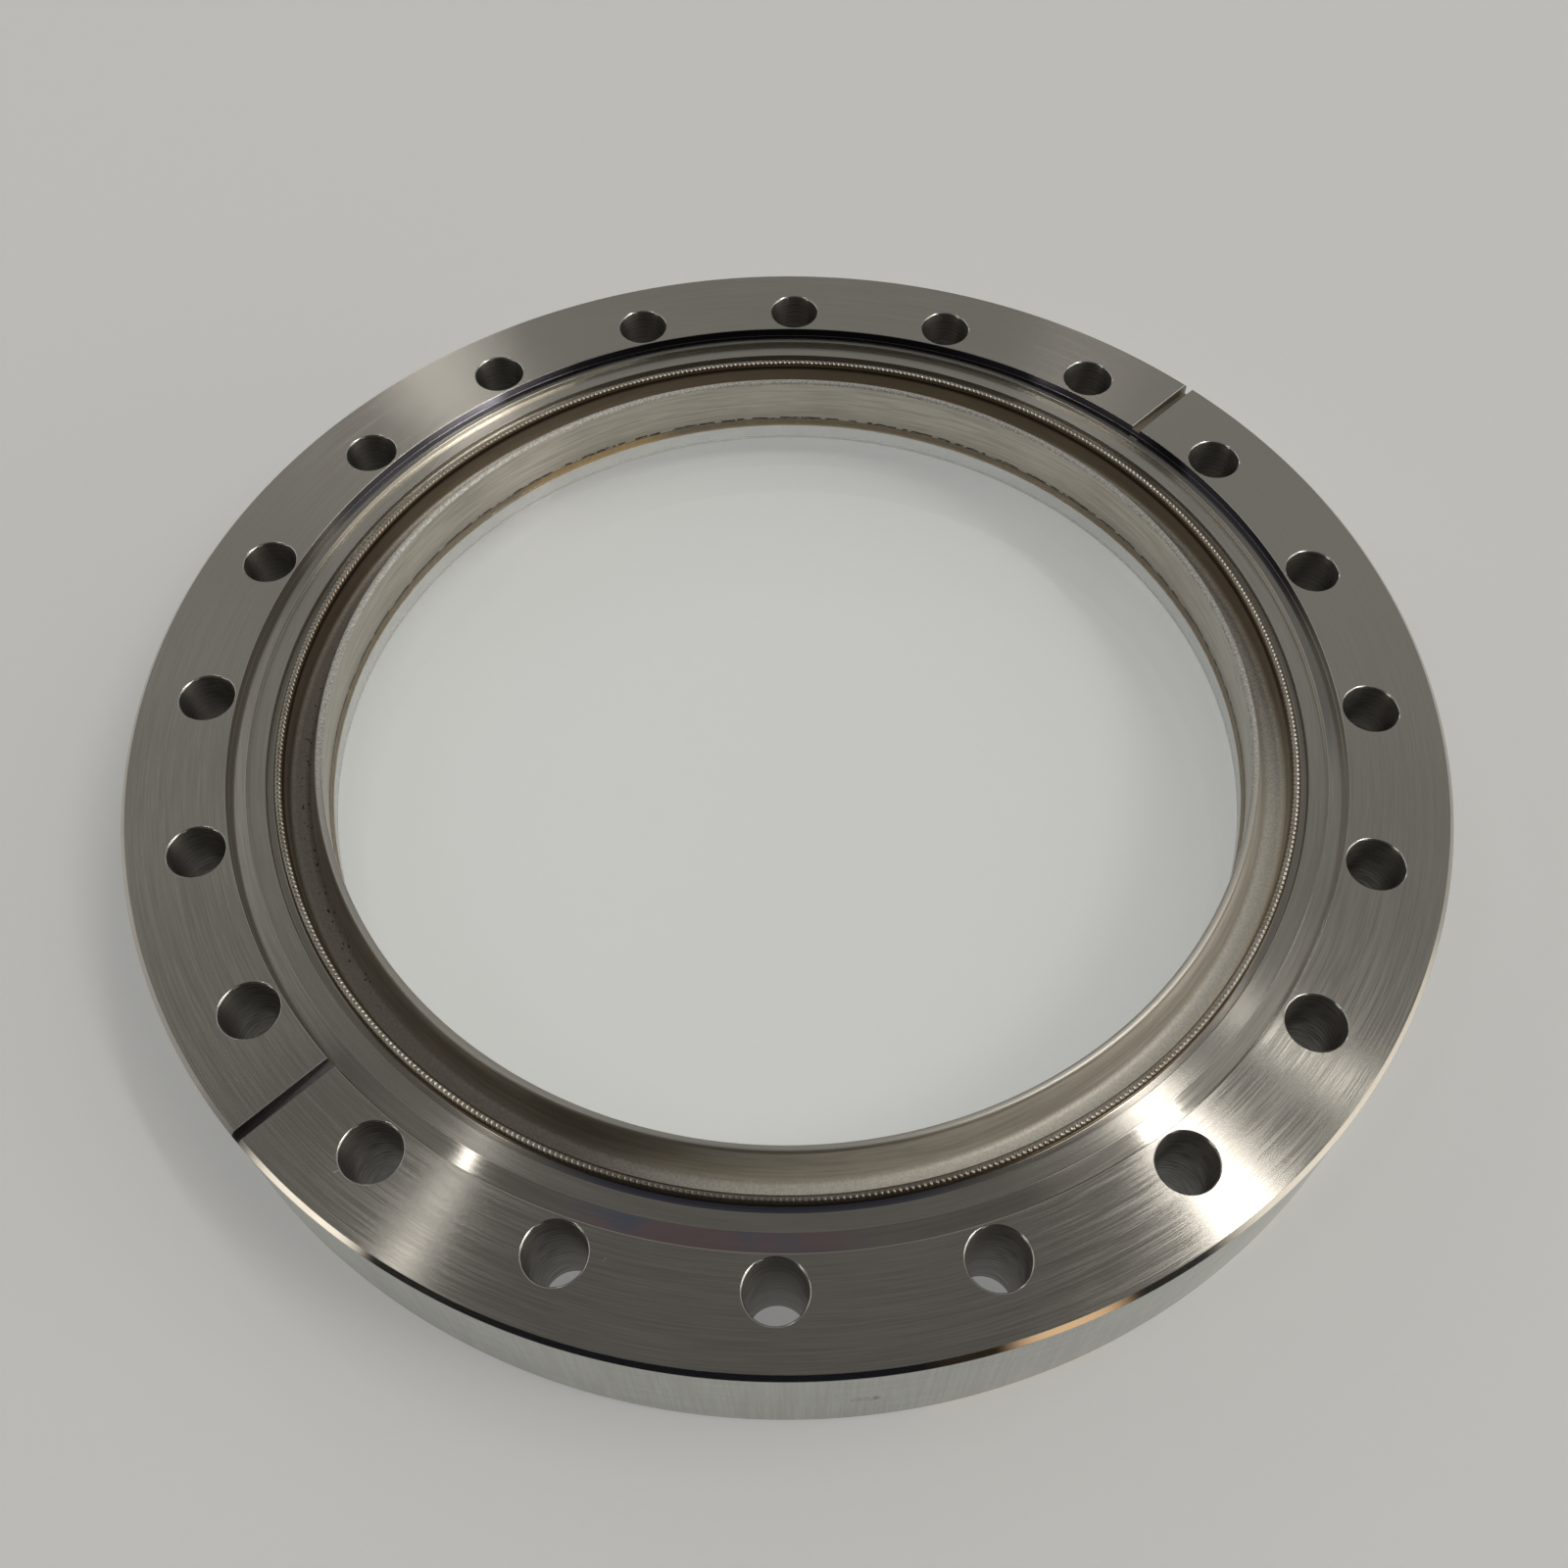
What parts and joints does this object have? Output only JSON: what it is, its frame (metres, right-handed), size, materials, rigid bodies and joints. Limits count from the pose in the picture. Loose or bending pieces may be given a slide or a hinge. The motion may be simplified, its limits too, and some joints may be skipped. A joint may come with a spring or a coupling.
{
  "type": "cf vacuum viewport flange",
  "caption": "Round vacuum flange with a knife-edge gasket recess, a ring of bolt holes, two leak-check slots and a glass window sealed into a thin welded cuff.",
  "frame": {"origin": "centre of the flange's back face, which is the face it rests on", "axes": "+Z along the flange's axis, out of the knife-edge face; +X through one bolt hole"},
  "size_m": [0.2024, 0.2024, 0.0223],
  "materials": {
    "flange_steel": "turned, with fine rings round the axis",
    "cuff_steel": "satin, formed",
    "weld_steel": "rippled edge weld with straw heat tint",
    "window_glass": "clear, polished both sides"
  },
  "bodies": {
    "root": {"flange_body": "flange_steel", "weld_cuff": "cuff_steel", "weld_bead": "weld_steel", "glass_window": "window_glass"}
  },
  "joints": []
}
